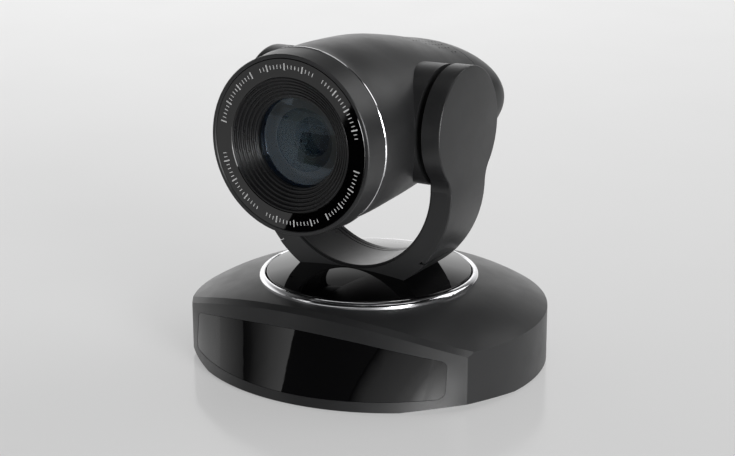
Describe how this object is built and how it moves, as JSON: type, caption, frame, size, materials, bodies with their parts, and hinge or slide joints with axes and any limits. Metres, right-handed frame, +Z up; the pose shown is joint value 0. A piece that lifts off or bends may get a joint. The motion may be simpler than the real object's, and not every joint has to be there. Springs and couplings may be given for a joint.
{
  "type": "ptz camera",
  "caption": "Desk conference camera with a round base, sloping gloss window, panning turntable with U yoke and a tilting zoom lens head",
  "frame": {"origin": "on the table surface under the pan axis", "axes": "+Z up along the pan axis; the lens looks along -Y at rest; +X is to the right of someone facing the lens"},
  "size_m": [0.14, 0.1327, 0.1308],
  "materials": {
    "shell_black": "fine matte texture",
    "base_black": "matte",
    "liner_black": "satin",
    "hood_black": "satin",
    "gloss_black": "high gloss",
    "port_black": "semi gloss",
    "bright_chrome": "polished",
    "rubber": "matte",
    "steel": "turned",
    "port_metal": "nickel plated",
    "zinc": "zinc plated",
    "brass": "turned",
    "aluminium": "turned",
    "nylon": "moulded",
    "circuit_board": "solder mask",
    "chip_black": "moulded",
    "lens_tint": "clear tinted",
    "led_lens": "diffused",
    "optical_glass": "coated"
  },
  "bodies": {
    "base": {"base_housing": "shell_black", "front_window": "gloss_black", "bottom_plate": "base_black", "rubber_feet": "rubber", "base_screws": "steel", "tripod_insert": "brass", "trim_ring": "bright_chrome", "port_panel": "base_black", "power_jack": "port_black", "usb_port": "port_metal", "hdmi_port": "port_metal", "main_board": "circuit_board", "board_chips": "chip_black", "window_board": "circuit_board", "ir_receiver": "lens_tint", "status_leds": "led_lens", "pan_chassis": "zinc", "pan_motor": "zinc", "pan_bearing_outer_race": "steel"},
    "pan_pinion": {"pan_pinion": "brass"},
    "turntable": {"turntable_disc": "gloss_black", "pan_gear": "nylon", "pan_spindle": "aluminium", "spindle_clip": "steel", "pan_bearing_inner_race": "steel", "pan_bearing_balls": "steel", "yoke_frame": "shell_black", "yoke_cover_right": "shell_black", "yoke_cover_left": "shell_black", "yoke_liner": "liner_black", "tilt_shaft_right": "steel", "tilt_shaft_left": "steel", "tilt_gear": "nylon"},
    "head": {"head_shell": "shell_black", "rear_cap": "shell_black", "front_bezel": "shell_black", "accent_ring": "bright_chrome", "lens_plate": "gloss_black", "lens_hood": "hood_black", "lens_barrel": "hood_black", "front_glass": "optical_glass", "inner_glass": "optical_glass", "glass_retainer": "hood_black", "iris_plate": "hood_black", "relay_glass": "optical_glass", "relay_mount": "hood_black", "guide_rods": "steel", "lens_motors": "zinc", "sensor_board": "circuit_board", "image_sensor": "chip_black", "tilt_motor": "zinc", "tilt_bushes": "nylon"},
    "tilt_pinion": {"tilt_pinion": "brass"},
    "zoom_group": {"zoom_carrier": "hood_black", "zoom_glass": "optical_glass"},
    "focus_group": {"focus_carrier": "hood_black", "focus_glass": "optical_glass"},
    "zoom_screw": {"zoom_screw": "steel"},
    "focus_screw": {"focus_screw": "steel"}
  },
  "joints": [
    {"name": "pan", "type": "hinge", "parent": "base", "child": "turntable", "pos_m": [0, 0, 0.0188], "axis": [0, 0, 1], "range_deg": [-110, 110]},
    {"name": "pan_pinion_spin", "type": "hinge", "parent": "base", "child": "pan_pinion", "pos_m": [0, 0.03486, 0.0265], "axis": [0, 0, 1], "range_deg": [-530, 530]},
    {"name": "tilt", "type": "hinge", "parent": "turntable", "child": "head", "pos_m": [0, 0, 0.0967], "axis": [1, 0, 0], "range_deg": [-30, 30]},
    {"name": "tilt_pinion_spin", "type": "hinge", "parent": "head", "child": "tilt_pinion", "pos_m": [0.0285, 0.01566, 0.0967], "axis": [1, 0, 0], "range_deg": [-101, 101]},
    {"name": "zoom", "type": "slide", "parent": "head", "child": "zoom_group", "axis": [0, 1, 0], "range_m": [0, 0.014]},
    {"name": "focus", "type": "slide", "parent": "head", "child": "focus_group", "axis": [0, 1, 0], "range_m": [-0.003, 0.003]},
    {"name": "zoom_screw_spin", "type": "hinge", "parent": "head", "child": "zoom_screw", "pos_m": [-0.01074, -0.02, 0.1029], "axis": [0, 1, 0], "range_deg": [-10, 5050]},
    {"name": "focus_screw_spin", "type": "hinge", "parent": "head", "child": "focus_screw", "pos_m": [0.01074, -0.005, 0.0905], "axis": [0, 1, 0], "range_deg": [-1090, 1090]}
  ],
  "couplings": [
    {"joint": "pan_pinion_spin", "follows": "pan", "ratio": -4.8},
    {"joint": "tilt_pinion_spin", "follows": "tilt", "ratio": 3.3333},
    {"joint": "zoom_screw_spin", "follows": "zoom", "rad_per_m": 6283.2},
    {"joint": "focus_screw_spin", "follows": "focus", "rad_per_m": 6283.2}
  ]
}
